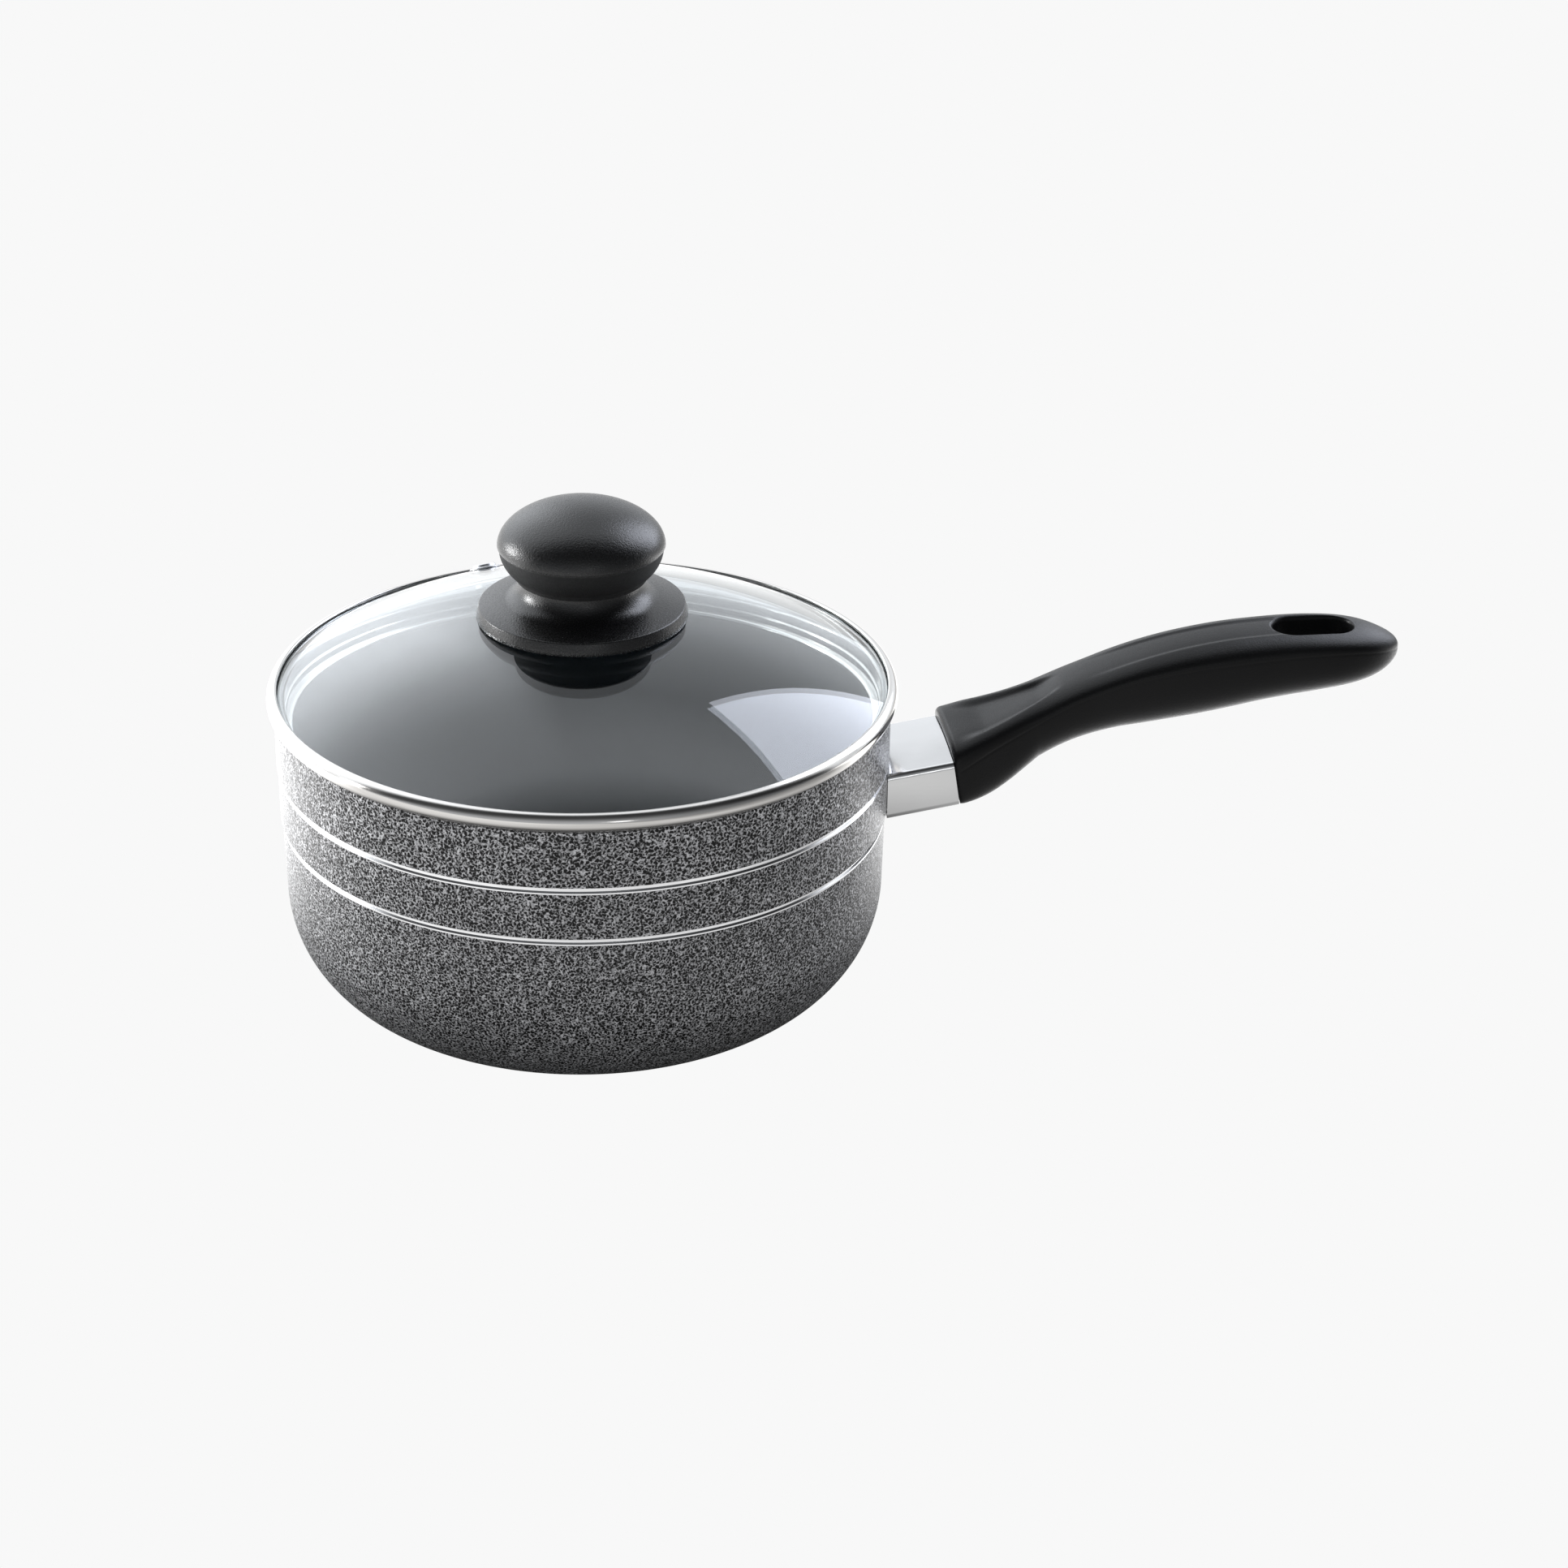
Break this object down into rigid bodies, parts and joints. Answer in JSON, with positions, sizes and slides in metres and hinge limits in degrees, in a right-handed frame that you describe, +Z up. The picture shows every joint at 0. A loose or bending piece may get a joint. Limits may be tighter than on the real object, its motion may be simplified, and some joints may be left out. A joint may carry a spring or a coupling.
{
  "type": "saucepan with lid",
  "caption": "Round straight-walled saucepan with a large base radius, a domed glass lid in a steel ring with a two-part knob, a steel flame guard and a long moulded handle with a hanging slot.",
  "frame": {"origin": "centre of the flat underside of the pan", "axes": "+Z up along the pan's axis, +X along the handle away from the pan, +Y to the left of the handle"},
  "size_m": [0.3076, 0.168, 0.1388],
  "materials": {
    "bare_aluminium": "machined and polished",
    "speckled_enamel": "hammertone, silver network over black",
    "nonstick_coating": "smooth satin non-stick",
    "plain_steel": "zinc plated",
    "rivet_aluminium": "satin",
    "polished_steel": "mirror-polished stainless steel",
    "black_phenolic": "satin moulded, fine grain",
    "clear_glass": "clear tempered",
    "black_silicone": "matt silicone",
    "insert_brass": "turned"
  },
  "bodies": {
    "pan": {"pan_body": "bare_aluminium", "outer_enamel_upper": "speckled_enamel", "outer_enamel_middle": "speckled_enamel", "outer_enamel_lower": "speckled_enamel", "nonstick_lining": "nonstick_coating", "handle_bracket": "plain_steel", "bracket_rivets": "rivet_aluminium", "flame_guard": "polished_steel", "handle_grip": "black_phenolic", "handle_screw": "plain_steel", "handle_washer": "plain_steel"},
    "lid": {"lid_glass": "clear_glass", "lid_rim": "polished_steel", "vent_eyelet": "polished_steel", "knob_gasket": "black_silicone", "knob_base": "black_phenolic", "knob_cap": "black_phenolic", "knob_insert": "insert_brass", "washer_gasket": "black_silicone", "knob_washer": "plain_steel", "knob_screw": "plain_steel"}
  },
  "joints": [
    {"name": "lid_lift", "type": "slide", "parent": "pan", "child": "lid", "axis": [0, 0, 1], "range_m": [0, 0.1]}
  ]
}
